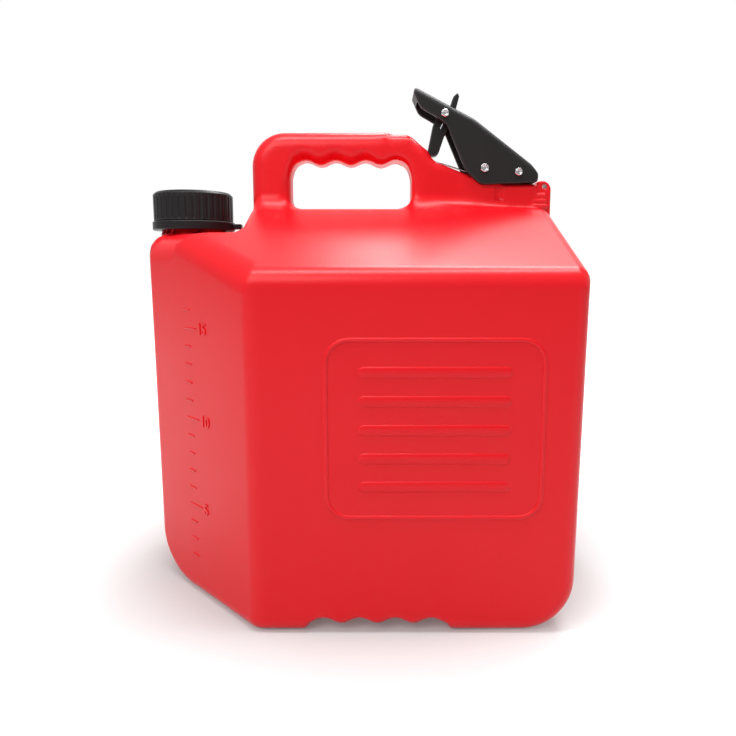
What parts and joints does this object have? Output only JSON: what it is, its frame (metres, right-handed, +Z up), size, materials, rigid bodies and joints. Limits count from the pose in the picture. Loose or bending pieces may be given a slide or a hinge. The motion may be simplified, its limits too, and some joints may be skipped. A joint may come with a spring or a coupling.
{
  "type": "fuel can",
  "caption": "Red moulded fuel can with carrying handle, ribbed screw cap, spring thumb trigger with safety latch, pull-rod valve and swivel spout.",
  "frame": {"origin": "centre of the footprint on the floor", "axes": "+X towards the spout end, +Y away from the pictured side, +Z up"},
  "size_m": [0.368, 0.268, 0.4035],
  "materials": {
    "tank_red": "satin moulded",
    "cap_black": "satin moulded",
    "trigger_black": "satin moulded",
    "hose_black": "matt",
    "seal_rubber": "matt",
    "screw_steel": "zinc plated",
    "spring_steel": "bright wire"
  },
  "bodies": {
    "can": {"tank": "tank_red", "lock_ring": "cap_black", "pivot_screw": "screw_steel", "pivot_nut": "screw_steel", "vent_seat": "seal_rubber", "outlet_body": "cap_black", "outlet_gasket": "seal_rubber", "swivel_seal": "seal_rubber", "swivel_cap": "cap_black"},
    "cap": {"fill_cap": "cap_black"},
    "cap_seal": {"cap_gasket": "seal_rubber"},
    "trigger": {"trigger_lever": "trigger_black", "rod_screw": "screw_steel", "rod_nut": "screw_steel", "latch_screw": "screw_steel", "latch_nut": "screw_steel", "return_spring": "spring_steel"},
    "latch": {"latch_lever": "trigger_black", "latch_spring": "spring_steel"},
    "rod": {"pull_rod": "spring_steel", "rod_eye": "screw_steel", "vent_disc": "seal_rubber", "valve_plug": "seal_rubber", "plug_nut": "screw_steel"},
    "spout": {"swivel_elbow": "cap_black", "flex_hose": "hose_black", "nozzle": "cap_black"}
  },
  "joints": [
    {"name": "cap_rise", "type": "slide", "parent": "can", "child": "cap_seal", "axis": [0, 0, 1], "range_m": [0, 0.0075]},
    {"name": "cap_turn", "type": "hinge", "parent": "cap_seal", "child": "cap", "pos_m": [-0.15, 0, 0.3], "axis": [0, 0, 1], "range_deg": [0, 540]},
    {"name": "trigger_press", "type": "hinge", "parent": "can", "child": "trigger", "pos_m": [0.096, 0, 0.339], "axis": [0, -1, 0], "range_deg": [0, 12], "stiffness_Nm_per_rad": 0.4, "springref_deg": -17.19, "deforming": ["return_spring"]},
    {"name": "latch_swing", "type": "hinge", "parent": "trigger", "child": "latch", "pos_m": [0.0626, 0, 0.3826], "axis": [0, -1, 0], "range_deg": [0, 42], "deforming": ["latch_spring"]},
    {"name": "rod_lift", "type": "slide", "parent": "can", "child": "rod", "axis": [0, 0, 1], "range_m": [0, 0.006]},
    {"name": "spout_swing", "type": "hinge", "parent": "can", "child": "spout", "pos_m": [0.1675, 0, 0.058], "axis": [1, 0, 0], "range_deg": [0, 180]}
  ],
  "couplings": [
    {"joint": "cap_turn", "follows": "cap_rise", "rad_per_m": 1256.6},
    {"joint": "latch_swing", "follows": "trigger_press", "ratio": 3.5},
    {"joint": "rod_lift", "follows": "trigger_press", "m_per_rad": 0.0282}
  ]
}
